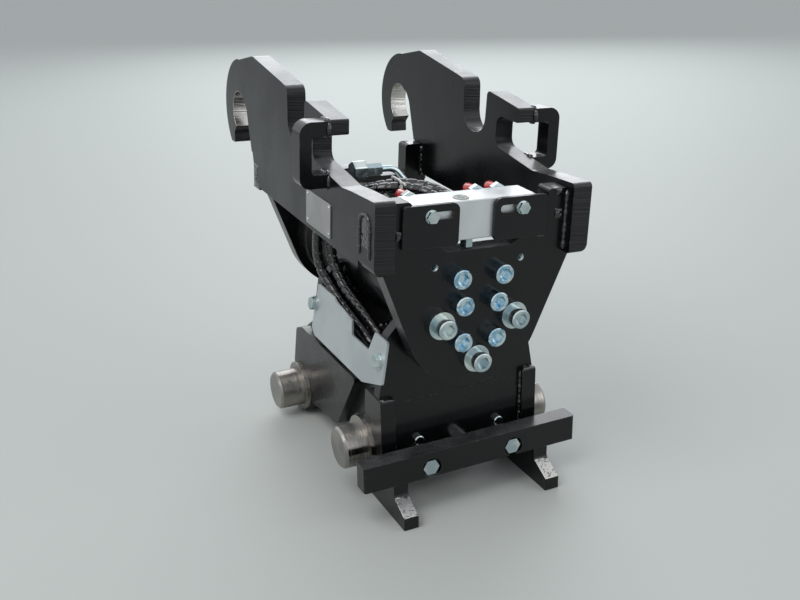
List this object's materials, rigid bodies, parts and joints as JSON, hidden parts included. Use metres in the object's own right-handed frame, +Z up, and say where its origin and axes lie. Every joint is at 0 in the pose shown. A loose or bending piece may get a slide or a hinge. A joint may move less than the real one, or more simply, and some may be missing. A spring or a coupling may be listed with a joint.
{
  "type": "tilting quick coupler",
  "caption": "Tilting quick coupler: hooked bracket bolted to a rotary actuator above a lower coupler with cross pins, locking beam and wedges.",
  "frame": {"origin": "middle of the bounding box's underside, on the ground; the tilt axis runs along Y at X = -9.7 mm, Z = 250 mm", "axes": "+X right and +Y back seen from the screwed front end plate, +Z up"},
  "size_m": [0.355, 0.5558, 0.5129],
  "materials": {
    "black_paint": "semi-gloss black paint",
    "machined_steel": "machined",
    "zinc_steel": "bright zinc plate",
    "aluminium": "satin, anodised",
    "silver_sheet": "satin",
    "red_plastic": "gloss",
    "hose_rubber": "matt, spiral wrapped",
    "bronze": "turned"
  },
  "bodies": {
    "base": {"actuator_housing": "black_paint", "frame_plate_front": "black_paint", "frame_plate_rear": "black_paint", "front_plate": "black_paint", "deck": "black_paint", "lock_barrel": "black_paint", "lock_gland": "black_paint", "frame_web_right": "black_paint", "frame_web_left": "black_paint", "rear_cheek_right": "black_paint", "rear_cheek_left": "black_paint", "front_block_right": "black_paint", "front_block_left": "black_paint", "rear_cross_pin": "machined_steel", "front_pin_right": "machined_steel", "front_pin_left": "machined_steel", "front_pin_collars": "machined_steel", "rear_pin_collars": "machined_steel", "base_bolts": "zinc_steel", "hose_ports": "zinc_steel", "cover_sheet": "silver_sheet", "hose_outer": "hose_rubber", "hose_inner": "hose_rubber", "bearing_front": "bronze", "bearing_rear": "bronze"},
    "bracket": {"hook_plate_right": "black_paint", "hook_plate_left": "black_paint", "wedge_loop_right": "black_paint", "wedge_loop_left": "black_paint", "front_end_plate": "black_paint", "rear_end_plate": "black_paint", "tilt_shaft": "machined_steel", "rear_hub": "machined_steel", "valve_block": "aluminium", "valve_bracket_right": "black_paint", "valve_bracket_left": "black_paint", "valve_bolts": "zinc_steel", "drain_fitting": "zinc_steel", "port_caps": "red_plastic", "rating_plate": "aluminium", "supply_pipe": "zinc_steel", "screw_collars": "zinc_steel", "rear_screws": "zinc_steel", "front_screw_1": "zinc_steel", "front_screw_2": "zinc_steel", "front_screw_3": "zinc_steel", "front_screw_4": "zinc_steel", "front_screw_5": "zinc_steel", "front_screw_6": "zinc_steel", "collar_screw_1": "zinc_steel", "collar_screw_2": "zinc_steel", "collar_screw_3": "zinc_steel"},
    "lock": {"lock_beam": "black_paint", "lock_rod": "machined_steel", "lock_wedge_right": "black_paint", "lock_wedge_left": "black_paint", "guide_pin_left": "machined_steel", "guide_pin_right": "machined_steel", "beam_bolts": "zinc_steel"},
    "sleeve": {"piston_sleeve": "machined_steel"}
  },
  "joints": [
    {"name": "tilt", "type": "hinge", "parent": "base", "child": "bracket", "pos_m": [-0.00971, -0.04855, 0.25], "axis": [0, 1, 0], "range_deg": [-53.1, 46.9], "deforming": ["hose_outer", "hose_inner"]},
    {"name": "lock_slide", "type": "slide", "parent": "base", "child": "lock", "axis": [0, -1, 0], "range_m": [0, 0.05]},
    {"name": "sleeve_slide", "type": "slide", "parent": "base", "child": "sleeve", "axis": [0, 1, 0], "range_m": [-0.088, 0.078]}
  ],
  "couplings": [
    {"joint": "sleeve_slide", "follows": "tilt", "m_per_rad": 0.09}
  ]
}
